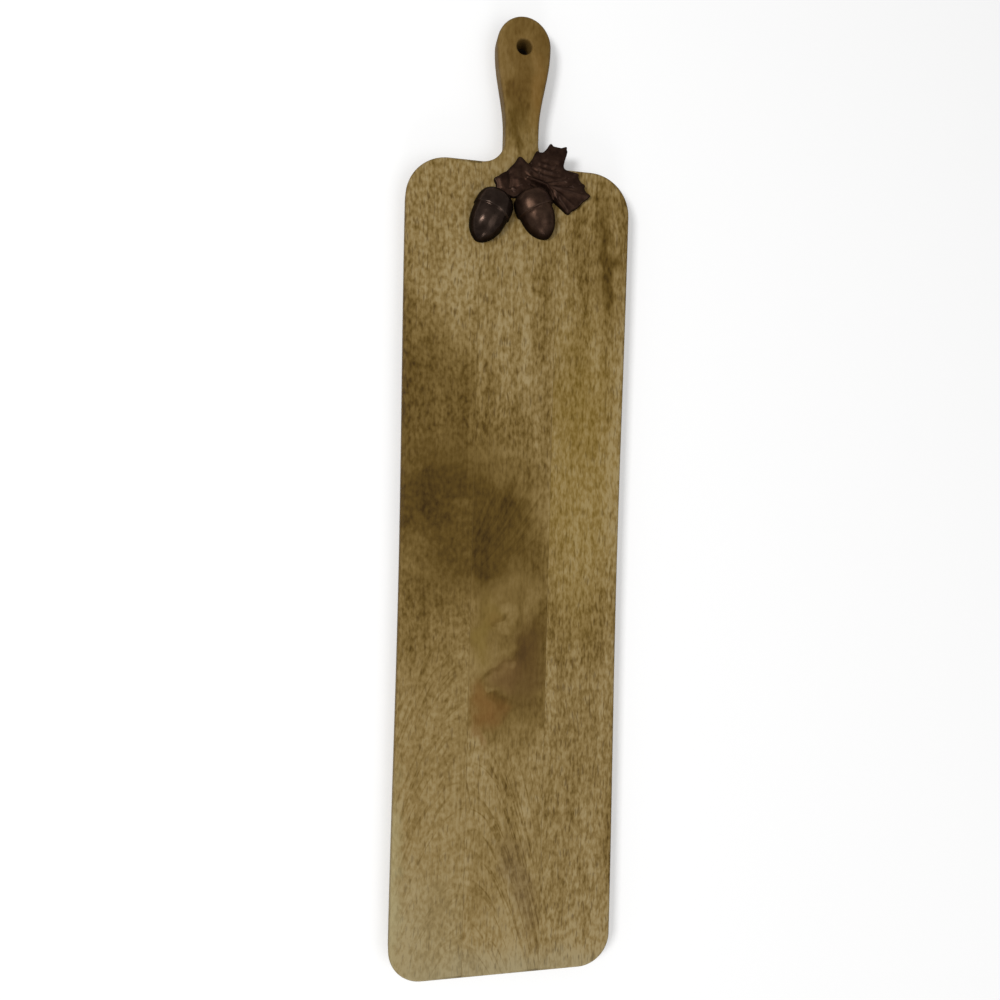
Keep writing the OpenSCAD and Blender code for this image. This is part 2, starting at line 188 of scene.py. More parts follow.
def stave(name, from_x, to_x, with_hole=False):
    """One stave: eased edges all round, square glue faces, and the hanging hole if it has the handle."""
    outline = stave_outline(from_x, to_x)
    count = len(outline)
    mesh = bmesh.new()
    rings = []
    for depth, height in eased_rings():
        flat = [inset(p, n, on_joint, depth) for p, n, on_joint in outline]
        rings.append([mesh.verts.new((p.x, p.y, height)) for p in flat])
    for i in range(count):
        j = (i + 1) % count
        if outline[i][2] and outline[j][2]:
            mesh.faces.new([ring[i] for ring in rings] + [ring[j] for ring in reversed(rings)])
            continue
        for below, above in zip(rings, rings[1:]):
            mesh.faces.new((below[i], below[j], above[j], above[i])).smooth = True
    if not with_hole:
        mesh.faces.new(rings[0])
        mesh.faces.new(rings[-1])
        return put_in_scene(name, mesh)
    hole = []
    for radius, height in hole_rings():
        places = [towards(90 - 360 * i / hang_steps) * radius for i in range(hang_steps)]
        hole.append([mesh.verts.new((p.x, hang_y + p.y, height)) for p in places])
    for below, above in zip(hole, hole[1:]):
        for i in range(hang_steps):
            j = (i + 1) % hang_steps
            mesh.faces.new((below[i], below[j], above[j], above[i])).smooth = True
    foot_i = min(range(count), key=lambda i: abs(outline[i][0].x) + outline[i][0].y - foot_y)
    half = hang_steps // 2
    for ring, rim in ((rings[0], hole[0]), (rings[-1], hole[-1])):
        mesh.faces.new(ring[: foot_i + 1] + rim[half::-1])
        mesh.faces.new(ring[foot_i:] + ring[:1] + rim[:1] + rim[: half - 1 : -1])
    return put_in_scene(name, mesh)


left_stave = stave("left_board", -shoulder_w, left_joint[0].x)
centre_stave = stave("centre_board", left_joint[1].x, right_joint[0].x, with_hole=True)
right_stave = stave("right_board", right_joint[1].x, shoulder_w)

bore_steps = 32
overrun = 0.001
screw_head_r = 0.00375
screw_r = 0.002
shank_gap = 0.00025
head_sink = 0.0006


def bore(name, place, profile):
    """A round cutter that stands on a place: radius and height of its rings from the bottom up."""
    mesh = bmesh.new()
    rings = []
    for radius, height in profile:
        spots = [place + towards(360 * i / bore_steps) * radius for i in range(bore_steps)]
        rings.append([mesh.verts.new((spot.x, spot.y, height)) for spot in spots])
    for below, above in zip(rings, rings[1:]):
        for i in range(bore_steps):
            j = (i + 1) % bore_steps
            mesh.faces.new((below[i], below[j], above[j], above[i])).smooth = True
    mesh.faces.new(rings[0])
    mesh.faces.new(rings[-1])
    return put_in_scene(name, mesh)


def cut_away(piece, cutter):
    """Takes one shape out of another and throws the cutter away."""
    cut = piece.modifiers.new("cut", "BOOLEAN")
    cut.operation = "DIFFERENCE"
    cut.solver = "EXACT"
    cut.object = cutter
    whole = piece.evaluated_get(bpy.context.evaluated_depsgraph_get())
    shape = bpy.data.meshes.new_from_object(whole)
    piece.modifiers.clear()
    piece.data = shape
    bpy.data.objects.remove(cutter)


acorn_screws_low, acorn_screws_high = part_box("acorn_screws")
leaf_screws_low, leaf_screws_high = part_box("leaf_screws")
left_acorn_place = Vector((acorn_screws_low.x + screw_head_r, acorn_screws_low.y + screw_head_r))
right_acorn_place = Vector((acorn_screws_high.x - screw_head_r, acorn_screws_high.y - screw_head_r))
leaf_screw_places = [
    Vector((leaf_screws_low.x + screw_head_r, leaf_screws_high.y - screw_head_r)),
    Vector((leaf_screws_high.x - screw_head_r, leaf_screws_low.y + screw_head_r)),
]
screw_hole = [
    (screw_head_r + shank_gap, -overrun),
    (screw_head_r + shank_gap, head_sink),
    (screw_r + shank_gap, head_sink + screw_head_r - screw_r),
    (screw_r + shank_gap, board_t + overrun),
]
for place in (left_acorn_place, right_acorn_place, *leaf_screw_places):
    board = centre_stave if place.x < right_joint[0].x else right_stave
    cut_away(board, bore("screw_hole", place, screw_hole))


def shade(red, green, blue):
    """A colour as it is read off a picture, from 0 to 255, for a shader's socket."""
    levels = [level / 255 for level in (red, green, blue)]
    return [v / 12.92 if v < 0.04045 else ((v + 0.055) / 1.055) ** 2.4 for v in levels] + [1]


def finish_of(name):
    """A new material, its node tree and its shader."""
    material = bpy.data.materials.new(name)
    material.use_nodes = True
    return material, material.node_tree, material.node_tree.nodes["Principled BSDF"]


def add_node(tree, kind, inputs, **settings):
    """A shader node with its settings, and its sockets set or linked. Gives its outputs."""
    made = tree.nodes.new(kind)
    for name, value in settings.items():
        setattr(made, name, value)
    for socket, value in inputs.items():
        if isinstance(value, bpy.types.NodeSocket):
            tree.links.new(value, made.inputs[socket])
        else:
            made.inputs[socket].default_value = value
    return made.outputs


def combine(tree, first, second, operation="ADD"):
    """Two values added up, or put together by another operation."""
    return add_node(tree, "ShaderNodeMath", {0: first, 1: second}, operation=operation)[0]


def add_share(tree, base, value, share):
    """A base value with a share of another value added to it."""
    return add_node(tree, "ShaderNodeMath", {0: value, 1: share, 2: base}, operation="MULTIPLY_ADD")[0]


def swing(tree, value, reach):
    """A noise's 0 to 1 turned into minus to plus half of a reach."""
    return add_share(tree, -reach / 2, value, reach)


def ease(tree, value, start, end):
    """0 up to the start and 1 from the end on, with a soft step between them."""
    reach = {"Value": value, "From Min": start, "From Max": end}
    return add_node(tree, "ShaderNodeMapRange", reach, interpolation_type="SMOOTHSTEP")[0]


def blend(tree, share, first, second):
    """A colour on the way from the first one to the second."""
    return add_node(tree, "ShaderNodeMix", {0: share, 6: first, 7: second}, data_type="RGBA")[2]


def noise(tree, vector, detail=2, rough=0.5):
    """A soft noise from 0 to 1 whose spots are about one step of a measured point across."""
    settings = {"Vector": vector, "Scale": 1, "Detail": detail, "Roughness": rough}
    return add_node(tree, "ShaderNodeTexNoise", settings)[0]


def measured(tree, vector, place, sizes, tilt=0):
    """A point measured from a place, along axes turned by some degrees, in steps of the given sizes."""
    turn = (0, 0, math.radians(tilt))
    settings = {"Vector": vector, "Location": place, "Rotation": turn, "Scale": sizes}
    return add_node(tree, "ShaderNodeMapping", settings, vector_type="TEXTURE")[0]


def ball(tree, point, place, half_sizes, tilt):
    """1 at a place and 0 from some way off it on, the same right through the wood."""
    inside = measured(tree, point, (*place, 0), (*half_sizes, 1), tilt)
    return add_node(tree, "ShaderNodeTexGradient", {"Vector": inside}, gradient_type="SPHERICAL")[1]


def patch(tree, point, place, half_sizes, tilt, firm=0.75):
    """A round patch with soft edges. A firm one is full over more of its size."""
    return ease(tree, ball(tree, point, place, half_sizes, tilt), 0, 1 - firm / 2)


def beyond(tree, point, place, soft, turn):
    """1 beyond a line through a place and 0 short of it. The way across it is turned from +X."""
    across = measured(tree, point, (*place, 0), (soft, 1, 1), turn)
    return ease(tree, add_node(tree, "ShaderNodeSeparateXYZ", {0: across})[0], -0.5, 0.5)


def blurred(tree, point):
    """A point moved a little to and fro, which gives the edges of patches an uneven run."""
    drift = {"Vector": measured(tree, point, (7, 7, 7), blur_sizes), "Scale": 1}
    drift = add_node(tree, "ShaderNodeTexNoise", drift)[1]
    drift = add_node(tree, "ShaderNodeVectorMath", {0: drift, 1: (0.5,) * 3}, operation="SUBTRACT")[0]
    reach = {0: drift, 1: (blur_reach,) * 3, 2: point}
    return add_node(tree, "ShaderNodeVectorMath", reach, operation="MULTIPLY_ADD")[0]


def lines_of(tree, value, width):
    """Thin lines where a noise crosses its middle."""
    off = combine(tree, value, 0.5, "SUBTRACT")
    off = add_node(tree, "ShaderNodeMath", {0: off}, operation="ABSOLUTE")[0]
    return ease(tree, off, width, 0)


wood_tones = [
    (0.0, shade(57, 38, 2)),
    (0.25, shade(92, 70, 23)),
    (0.5, shade(119, 96, 49)),
    (0.75, shade(141, 118, 72)),
    (1.0, shade(160, 140, 98)),
]
pore_colour = shade(68, 46, 10)
pore_strength = 0.5
pore_range = (0.57, 0.72)
pore_bump = 0.25
pore_relief = 0.0004
# Painted shade: the wood darkens where its surface turns away from the faces, on the eased edges and the
# sides
edge_shade_colour = shade(74, 54, 24)
edge_shade_strength = 0.45
edge_shade_range = (0.97, 0.3)
wood_smooth = 0.48
wood_dull = 0.7
wood_gloss = 0.12
wander_sizes = (0.05, 0.12, 0.05)
wander_reach = 0.008
blur_sizes = (0.024, 0.024, 0.024)
blur_reach = 0.03
strand_sizes = (0.0016, 0.07, 0.004)
streak_sizes = (0.006, 0.08, 0.01)
band_sizes = (0.015, 0.16, 0.03)
mottle_sizes = (0.011, 0.007, 0.02)
pore_sizes = (0.0017, 0.011, 0.002)
ring_sizes = (0.05, 0.018, 0.03)
ring_line_w = 0.05
ring_break_range = (0.36, 0.5)
ring_axis_range = (-0.0002, 0.0003)
plume_sizes = (0.012, 0.08, 0.03)
eye_rings = 5
fleck_sizes = (0.0045, 0.0055, 0.02)
fibre_depth = 1.35
fibre_top = 0.2
strand_depth = 0.35
streak_depth = 0.4
band_depth = 0.55
mottle_depth = 0.32


def mango_wood(
    name, seed, tone, fibre_sizes, clouds, tints, quiet,
    fields=(), arcs=None, feather=None, eye=None, flecked=None,
):
    """Oiled mango wood of one stave. A cloud, tint or quiet place gives where it is, its half sizes, its
    tilt, how firm it is, and how much it changes the tone, the colour or the depth of the fibres. A field
    changes the tone between several lines. Arcs are the arched rings near the foot, the feather fans out
    from where a branch grew, the eye has rings one within another, and the flecked place has small round
    spots."""
    material, tree, finish = finish_of(name)
    point = add_node(tree, "ShaderNodeTexCoord", {})["Object"]
    x, y, z = add_node(tree, "ShaderNodeSeparateXYZ", {0: point})
    shift = (seed, seed * 2, seed * 3)

    wander = swing(tree, noise(tree, measured(tree, point, shift, wander_sizes)), wander_reach)
    grain = add_node(tree, "ShaderNodeCombineXYZ", {0: combine(tree, x, wander), 1: y, 2: z})[0]
    fibre = noise(tree, measured(tree, grain, shift, fibre_sizes))
    strand = noise(tree, measured(tree, grain, shift, strand_sizes))
    streak = noise(tree, measured(tree, grain, shift, streak_sizes))
    band = noise(tree, measured(tree, grain, shift, band_sizes))
    mottle = noise(tree, measured(tree, point, shift, mottle_sizes))
    pore = ease(tree, noise(tree, measured(tree, grain, shift, pore_sizes), 1), *pore_range)
    cloudy = blurred(tree, point)

    fine = {0: swing(tree, fibre, fibre_depth), 1: fibre_top, 2: fibre_top}
    fine = add_node(tree, "ShaderNodeMath", fine, operation="SMOOTH_MIN")[0]
    layers = ((strand, strand_depth), (streak, streak_depth), (band, band_depth), (mottle, mottle_depth))
    for layer, depth in layers:
        fine = combine(tree, fine, swing(tree, layer, depth))
    for *place, share in quiet:
        loud = add_share(tree, 1, patch(tree, cloudy, *place), -share)
        fine = combine(tree, fine, loud, "MULTIPLY")
        pore = combine(tree, pore, loud, "MULTIPLY")
    value = combine(tree, fine, tone)
    for *place, change in clouds:
        value = add_share(tree, value, patch(tree, cloudy, *place), change)
    for sides, change in fields:
        inside = beyond(tree, cloudy, *sides[0])
        for side in sides[1:]:
            inside = combine(tree, inside, beyond(tree, cloudy, *side), "MULTIPLY")
        value = add_share(tree, value, inside, change)
    if arcs:
        axis_x, sharpness, start_y, end_y, depth, line_depth = arcs
        off_axis = combine(tree, x, axis_x, "SUBTRACT")
        off_axis = combine(tree, off_axis, off_axis, "MULTIPLY")
        bow = combine(tree, off_axis, sharpness, "MULTIPLY")
        rung = add_node(tree, "ShaderNodeCombineXYZ", {0: x, 1: combine(tree, y, bow), 2: z})[0]
        ring = noise(tree, measured(tree, rung, shift, ring_sizes))
        low = ease(tree, y, start_y, end_y)
        line = lines_of(tree, ring, ring_line_w)
        line = combine(tree, line, ease(tree, mottle, *ring_break_range), "MULTIPLY")
        line = combine(tree, line, ease(tree, off_axis, *ring_axis_range), "MULTIPLY")
        value = add_share(tree, value, combine(tree, line, low, "MULTIPLY"), -line_depth)
        value = add_share(tree, value, combine(tree, swing(tree, ring, 2), low, "MULTIPLY"), depth)
    if feather:
        root, *place, depth = feather
        from_root = measured(tree, point, (*root, 0), (1, 1, 1))
        aside, ahead, _ = add_node(tree, "ShaderNodeSeparateXYZ", {0: from_root})
        spread = add_node(tree, "ShaderNodeMath", {0: ahead}, operation="SQRT")[0]
        turn = combine(tree, aside, spread, "DIVIDE")
        plume = add_node(tree, "ShaderNodeCombineXYZ", {0: turn, 1: ahead, 2: z})[0]
        plume = noise(tree, measured(tree, plume, shift, plume_sizes))
        plume = combine(tree, swing(tree, plume, 2), patch(tree, point, *place), "MULTIPLY")
        value = add_share(tree, value, plume, depth)
    if eye:
        *place, depth = eye
        inward = combine(tree, ball(tree, cloudy, *place[:3]), eye_rings, "MULTIPLY")
        rings = noise(tree, add_node(tree, "ShaderNodeCombineXYZ", {0: inward, 1: seed})[0], 1)
        rings = combine(tree, swing(tree, rings, 2), patch(tree, point, *place), "MULTIPLY")
        value = add_share(tree, value, rings, depth)
    if flecked:
        *place, depth = flecked
        flecks = noise(tree, measured(tree, point, shift, fleck_sizes))
        flecks = combine(tree, swing(tree, flecks, 2), patch(tree, point, *place), "MULTIPLY")
        value = add_share(tree, value, flecks, depth)

    ramp = tree.nodes.new("ShaderNodeValToRGB")
    tree.links.new(value, ramp.inputs[0])
    stops = ramp.color_ramp.elements
    while len(stops) < len(wood_tones):
        stops.new(1)
    for stop, (position, colour) in zip(stops, wood_tones):
        stop.position = position
        stop.color = colour
    colour = blend(tree, combine(tree, pore, pore_strength, "MULTIPLY"), ramp.outputs[0], pore_colour)
    for *place, tint, strength in tints:
        share = combine(tree, patch(tree, cloudy, *place), strength, "MULTIPLY")
        colour = blend(tree, share, colour, tint)
    # Painted shade on the eased edges and sides: darker the more the surface turns away from the faces
    normal = add_node(tree, "ShaderNodeNewGeometry", {})["Normal"]
    upward = add_node(tree, "ShaderNodeSeparateXYZ", {0: normal})[2]
    level = add_node(tree, "ShaderNodeMath", {0: upward}, operation="ABSOLUTE")[0]
    edge_shade = combine(tree, ease(tree, level, *edge_shade_range), edge_shade_strength, "MULTIPLY")
    colour = blend(tree, edge_shade, colour, edge_shade_colour)
    tree.links.new(colour, finish.inputs["Base Color"])

    sheen = {"Value": fibre, "To Min": wood_smooth, "To Max": wood_dull}
    rough = add_node(tree, "ShaderNodeMapRange", sheen)[0]
    tree.links.new(rough, finish.inputs["Roughness"])
    finish.inputs["Specular IOR Level"].default_value = wood_gloss
    relief = combine(tree, fibre, pore, "SUBTRACT")
    bumps = {"Height": relief, "Strength": pore_bump, "Distance": pore_relief}
    bump = add_node(tree, "ShaderNodeBump", bumps)[0]
    tree.links.new(bump, finish.inputs["Normal"])
    return material


# Each cloud: its place, its half sizes, its tilt, how firm it is and how much it changes the tone
crotch_clouds = [
    ((-0.07, 0.08), (0.07, 0.1), 0, 0.3, -0.35),
    ((-0.03, -0.024), (0.09, 0.06), -38, 0.8, -0.45),
    ((-0.08, -0.03), (0.06, 0.08), 0, 0.4, -0.12),
    ((-0.09, 0.015), (0.03, 0.08), 0, 0.5, -0.1),
    ((-0.05, 0.045), (0.06, 0.05), 0, 0.3, -0.05),
    ((-0.06, -0.016), (0.016, 0.018), 0, 0.5, -0.06),
    ((-0.06, -0.074), (0.032, 0.028), 0, 0.4, -0.13),
    ((0.006, 0.018), (0.022, 0.018), 0, 0.4, -0.1),
    ((-0.09, -0.12), (0.018, 0.05), 0, 0.4, -0.1),
    ((-0.002, 0.045), (0.075, 0.075), 0, 0.3, -0.16),
]
crotch_quiet = [((-0.035, -0.02), (0.1, 0.09), -20, 0.8, 0.68)]
left_clouds = crotch_clouds + [
    ((-0.045, 0.155), (0.03, 0.07), 0, 0.4, 0.14),
    ((-0.066, -0.095), (0.06, 0.07), 0, 0.4, -0.2),
    ((-0.045, -0.006), (0.013, 0.006), -15, 0.5, 0.12),
    ((-0.055, -0.083), (0.008, 0.007), 0, 0.5, -0.12),
    ((-0.043, -0.092), (0.007, 0.006), 0, 0.5, -0.1),
    ((-0.09, 0.13), (0.014, 0.1), 0, 0.5, -0.13),
    ((-0.09, -0.035), (0.014, 0.07), 0, 0.5, -0.16),
    ((-0.06, -0.2), (0.06, 0.1), 0, 0.3, 0.08),
    ((-0.088, -0.33), (0.036, 0.12), 0, 0.4, 0.22),
    ((-0.092, -0.34), (0.024, 0.08), 0, 0.4, 0.1),
    ((-0.06, -0.375), (0.06, 0.05), 0, 0.3, 0.1),
]
foot_tint = ((0, -0.385), (0.13, 0.035), 0, 0.5, shade(160, 154, 126), 0.3)
left_tints = [
    foot_tint,
    ((-0.092, -0.3), (0.016, 0.12), 0, 0.5, shade(176, 168, 126), 0.35),
    ((-0.08, -0.36), (0.08, 0.1), 0, 0.3, shade(160, 150, 116), 0.25),
]
left_quiet = crotch_quiet + [
    ((-0.07, 0.07), (0.065, 0.11), 0, 0.5, 0.35),
    ((-0.06, -0.22), (0.08, 0.22), 0, 0.6, 0.35),
]
centre_clouds = crotch_clouds + [
    ((0, 0.34), (0.06, 0.09), 0, 0.75, -0.26),
    ((-0.003, 0.318), (0.012, 0.05), 0, 0.5, -0.2),
    ((-0.015, 0.345), (0.006, 0.04), 0, 0.4, 0.12),
    ((0.009, 0.334), (0.005, 0.03), 0, 0.4, 0.1),
    ((0, 0.372), (0.012, 0.009), 0, 0.5, -0.14),
    ((0.014, 0.362), (0.01, 0.02), 10, 0.5, -0.14),
    ((-0.01, 0.272), (0.01, 0.025), 0, 0.4, 0.14),
    ((-0.001, 0.28), (0.004, 0.022), 0, 0.5, -0.2),
    ((0.024, 0.13), (0.012, 0.1), 0, 0.3, -0.1),
    ((0.003, 0.078), (0.03, 0.035), 0, 0.4, 0.1),
    ((0, -0.108), (0.055, 0.05), 0, 0.5, -0.18),
    ((0.026, -0.055), (0.015, 0.05), 0, 0.5, -0.12),
    ((0.022, 0.008), (0.014, 0.022), 0, 0.4, -0.12),
    ((-0.0105, -0.097), (0.005, 0.008), -25, 0.8, -0.26),
    ((-0.0135, -0.105), (0.005, 0.005), 0, 0.8, -0.26),
    # The next two are painted glints: small bright spots of light on the crotch figure
    ((-0.0035, -0.134), (0.005, 0.004), 30, 0.8, 0.2),
    ((-0.0125, -0.155), (0.005, 0.004), 0, 0.8, 0.2),
    ((-0.026, -0.062), (0.013, 0.015), 0, 0.5, -0.14),
    ((-0.003, -0.06), (0.015, 0.012), 10, 0.4, 0.07),
    ((-0.012, -0.138), (0.02, 0.004), 43, 0.5, -0.2),
    ((-0.01, -0.161), (0.006, 0.007), 20, 0.7, -0.16),
    ((0.004, -0.014), (0.02, 0.02), 0, 0.4, -0.07),
    ((-0.004, -0.08), (0.013, 0.03), -20, 0.4, 0.12),
    ((0.006, -0.108), (0.01, 0.024), -15, 0.4, -0.13),
    ((-0.024, -0.096), (0.014, 0.04), 0, 0.4, -0.15),
    ((-0.003, -0.131), (0.013, 0.013), 0, 0.4, -0.1),
    ((0.009, -0.125), (0.008, 0.014), 0, 0.5, -0.1),
    ((0.01, -0.192), (0.038, 0.02), 0, 0.4, -0.13),
    ((-0.025, -0.036), (0.028, 0.035), 0, 0.4, -0.1),
    ((-0.016, -0.165), (0.026, 0.036), 0, 0.5, -0.32),
    ((0.01, -0.28), (0.014, 0.05), 12, 0.4, -0.11),
    ((0.02, -0.325), (0.012, 0.04), 12, 0.4, -0.06),
    ((-0.005, -0.28), (0.05, 0.1), 0, 0.4, 0.05),
    ((-0.012, -0.37), (0.06, 0.06), 0, 0.3, 0.22),
]
centre_tints = [
    foot_tint,
    ((-0.022, -0.164), (0.013, 0.026), 8, 0.4, shade(126, 84, 38), 0.45),
    ((-0.01, -0.171), (0.014, 0.016), 0, 0.4, shade(122, 82, 38), 0.4),
    ((-0.025, -0.187), (0.007, 0.016), 0, 0.4, shade(122, 86, 44), 0.4),
    ((-0.004, -0.142), (0.016, 0.022), 0, 0.4, shade(110, 80, 46), 0.45),
    ((-0.02, -0.108), (0.012, 0.042), -8, 0.4, shade(130, 108, 48), 0.4),
    ((-0.016, -0.1), (0.009, 0.013), 0, 0.5, shade(124, 96, 48), 0.4),
    ((0.014, -0.134), (0.022, 0.05), -8, 0.5, shade(93, 67, 33), 0.45),
    ((0.012, -0.307), (0.016, 0.06), 14, 0.4, shade(108, 88, 62), 0.3),
    ((0.011, 0.32), (0.01, 0.04), 0, 0.4, shade(128, 92, 36), 0.45),
    ((0, 0.345), (0.05, 0.06), 0, 0.5, shade(116, 84, 40), 0.3),
]
centre_quiet = crotch_quiet + [
    ((0, -0.126), (0.055, 0.1), 0, 0.8, 0.68),
    ((0, 0.34), (0.06, 0.1), 0, 0.75, 0.6),
    ((0, -0.3), (0.07, 0.14), 0, 0.5, 0.3),
]
diagonal_side = ((0.01, -0.113), 0.014, -33)
inner_side = ((-0.003, -0.155), 0.014, 3)
lower_side = ((0.02, -0.18), 0.018, 90)
right_clouds = [
    ((0.073, 0.19), (0.008, 0.06), 2, 0.6, -0.26),
    ((0.06, 0.225), (0.022, 0.04), 0, 0.4, -0.12),
    ((0.066, 0.2), (0.04, 0.1), 0, 0.4, -0.24),
    ((0.036, 0.16), (0.006, 0.09), 0, 0.4, 0.1),
    ((0.052, 0.085), (0.035, 0.07), 0, 0.3, -0.12),
    ((0.088, 0), (0.02, 0.09), 0, 0.4, 0.12),
    ((0.054, -0.105), (0.045, 0.055), 0, 0.3, -0.15),
    ((0.066, -0.15), (0.012, 0.045), 0, 0.4, 0.1),
    ((0.066, -0.335), (0.009, 0.05), 0, 0.4, -0.14),
    ((0.07, -0.37), (0.05, 0.07), 0, 0.3, 0.2),
    ((0.087, -0.28), (0.007, 0.05), 0, 0.5, -0.2),
]
right_quiet = [((0.073, 0.19), (0.014, 0.07), 2, 0.5, 0.45)]
right_tints = [foot_tint, ((0.055, 0.02), (0.05, 0.18), 0, 0.4, shade(146, 118, 15), 0.2)]
left_stave.data.materials.append(
    mango_wood(
        "mango_left", 5.3, 0.72, (0.0026, 0.0046, 0.0026), left_clouds, left_tints, left_quiet,
        arcs=(-0.028, 26, -0.06, -0.16, 0.1, 0.2),
        flecked=((-0.06, -0.03), (0.06, 0.08), 0, 0.5, 0.2),
    )
)
centre_stave.data.materials.append(
    mango_wood(
        "mango_centre", 5.3, 0.72, (0.0024, 0.0056, 0.0024), centre_clouds, centre_tints, centre_quiet,
        fields=[((diagonal_side, inner_side, lower_side), -0.34)],
        arcs=(-0.033, 38, -0.19, -0.23, 0.12, 0.28),
        feather=((-0.075, -0.08), (0.0, -0.005), (0.045, 0.075), -25, 0.5, 0.22),
        eye=((-0.004, -0.095), (0.03, 0.055), -22, 0.6, 0.24),
    )
)
right_stave.data.materials.append(
    mango_wood("mango_right", 9.1, 0.73, (0.0021, 0.0056, 0.0021), right_clouds, right_tints, right_quiet)
)
for board, node in ((left_stave, "left_stave"), (centre_stave, "centre_stave"), (right_stave, "right_stave")):
    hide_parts(node)
    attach(board, "root")

# Glue lines
# Two thin films of cured wood glue that hold the staves together along their whole length. What was
# squeezed out has been sanded flush with both faces.
glue_colours = (shade(84, 64, 28), shade(112, 90, 46))
glue_patch = 0.012
glue_rough = 0.5
glue, glue_tree, glue_finish = finish_of("cured_glue")
glue_point = add_node(glue_tree, "ShaderNodeTexCoord", {})["Object"]
glue_tint = noise(glue_tree, measured(glue_tree, glue_point, (0, 0, 0), (glue_patch,) * 3))
glue_tree.links.new(blend(glue_tree, glue_tint, *glue_colours), glue_finish.inputs["Base Color"])
glue_finish.inputs["Roughness"].default_value = glue_rough
glue_finish.inputs["Specular IOR Level"].default_value = wood_gloss
for node in ("left_glue_line", "right_glue_line"):
    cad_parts[node].data.materials.clear()
    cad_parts[node].data.materials.append(glue)

# Acorns
# Two solid castings with a dark bronze patina, each a plump nut in its cap. They are flat at the
# back, where a screw through the board holds each one down.
cap_d = 0.0312
cap_l = 0.0165
cap_square = 2.9
cap_middle_share = 0.12
cap_middle = cap_middle_share * cap_l
brim_r = 0.001
nut_full = 2.4
nut_blunt = 0.62
left_nut_d = 0.029
left_nut_l = 0.026
left_acorn_lean = -25
right_nut_d = 0.0278
right_nut_l = 0.023
right_acorn_lean = 26
acorn_axis_h = 0.0015
nut_steps = 44
lip_steps = 8
cap_steps = 36
round_steps = 72
back_steps = 12
brim_smoothings = 5
brim_run = 5
thread_r = 0.0021
thread_end_gap = 0.0005
cast_size = 0.005
cast_reach = 0.0004
weld_reach = 0.00002


def acorn_profile(nut_d, nut_l, grow):
    """Distance along the axis and radius, from the tip of the nut round the brim to the top of the cap."""
    profile = []
    for i in range(nut_steps + 1):
        t = math.cos(math.pi / 2 * i / nut_steps)
        radius = (nut_d / 2 + grow) * (1 - t**nut_full) ** nut_blunt
        profile.append(Vector((brim_r + (nut_l + grow) * t, radius)))
    for i in range(lip_steps):
        a = math.pi / 2 * (1 - i / lip_steps)
        lip = Vector((math.sin(a), math.cos(a))) * (brim_r + grow)
        profile.append(lip + Vector((0, cap_d / 2 - brim_r)))
    for i in range(cap_steps + 1):
        a = math.pi / 2 * i / cap_steps
        power = 2 / cap_square
        along = -(cap_l + grow) * math.sin(a) ** power
        profile.append(Vector((along, (cap_d / 2 + grow) * max(math.cos(a), 0) ** power)))
    if not grow:
        for _ in range(brim_smoothings):
            for i in range(nut_steps - brim_run, nut_steps + lip_steps + brim_run):
                profile[i] = profile[i] / 2 + (profile[i - 1] + profile[i + 1]) / 4
    return profile


def acorn(name, place, lean, nut_d, nut_l, grow=0):
    """An acorn laid on the face, cut flat there, with its tip leaning by some degrees to the right."""
    along = towards(lean - 90)
    aside = Vector((-along.y, along.x))
    mesh = bmesh.new()
    rings = []
    for distance, radius in acorn_profile(nut_d, nut_l, grow):
        middle = place + along * (distance + cap_middle)
        uneven = cast_reach / 2 * min(1, radius / cast_size)
        dip = math.asin(min(1, (acorn_axis_h + grow) / max(radius, acorn_axis_h)))
        turns = [-dip + (math.pi + 2 * dip) * i / round_steps for i in range(round_steps + 1)]
        section = [Vector((math.cos(a), math.sin(a))) * radius for a in turns]
        section += [section[-1].lerp(section[0], i / back_steps) for i in range(1, back_steps)]
        ring = []
        for side, height in section:
            flat = middle + aside * side
            spot = Vector((flat.x, flat.y, board_t + acorn_axis_h + height))
            if not grow and spot.z > board_t + cast_reach:
                outward = Vector((aside.x * side, aside.y * side, height)).normalized()
                spot += outward * (solid_noise.noise(spot / cast_size) - 1) * uneven
            ring.append(mesh.verts.new(spot))
        rings.append(ring)
    count = len(rings[0])
    for near, far in zip(rings, rings[1:]):
        for i in range(count):
            j = (i + 1) % count
            mesh.faces.new((near[i], near[j], far[j], far[i])).smooth = True
    bmesh.ops.remove_doubles(mesh, verts=mesh.verts, dist=weld_reach)
    return put_in_scene(name, mesh)


patina_size = 0.007
patina_range = (0.3, 0.7)
# Lighter where the metal stands proud: thinned patina, and a painted highlight along the ridges
rubbed_and_lit_range = (0.5, 0.56)
rubbed_and_lit_strength = 0.8
# Painted shade near the face of the board, where the castings' rounded sides meet it
contact_shade_colour = shade(18, 13, 11)
contact_shade_strength = 0.85
grit_size = 0.0008
grit_bump = 0.1
grit_relief = 0.0002
bronze_metal = 0.75
bronze_gloss = 0.2
bronze_gloss_tint = (0.3, 0.26, 0.24, 1)
acorn_contact_shade_h = 0.013


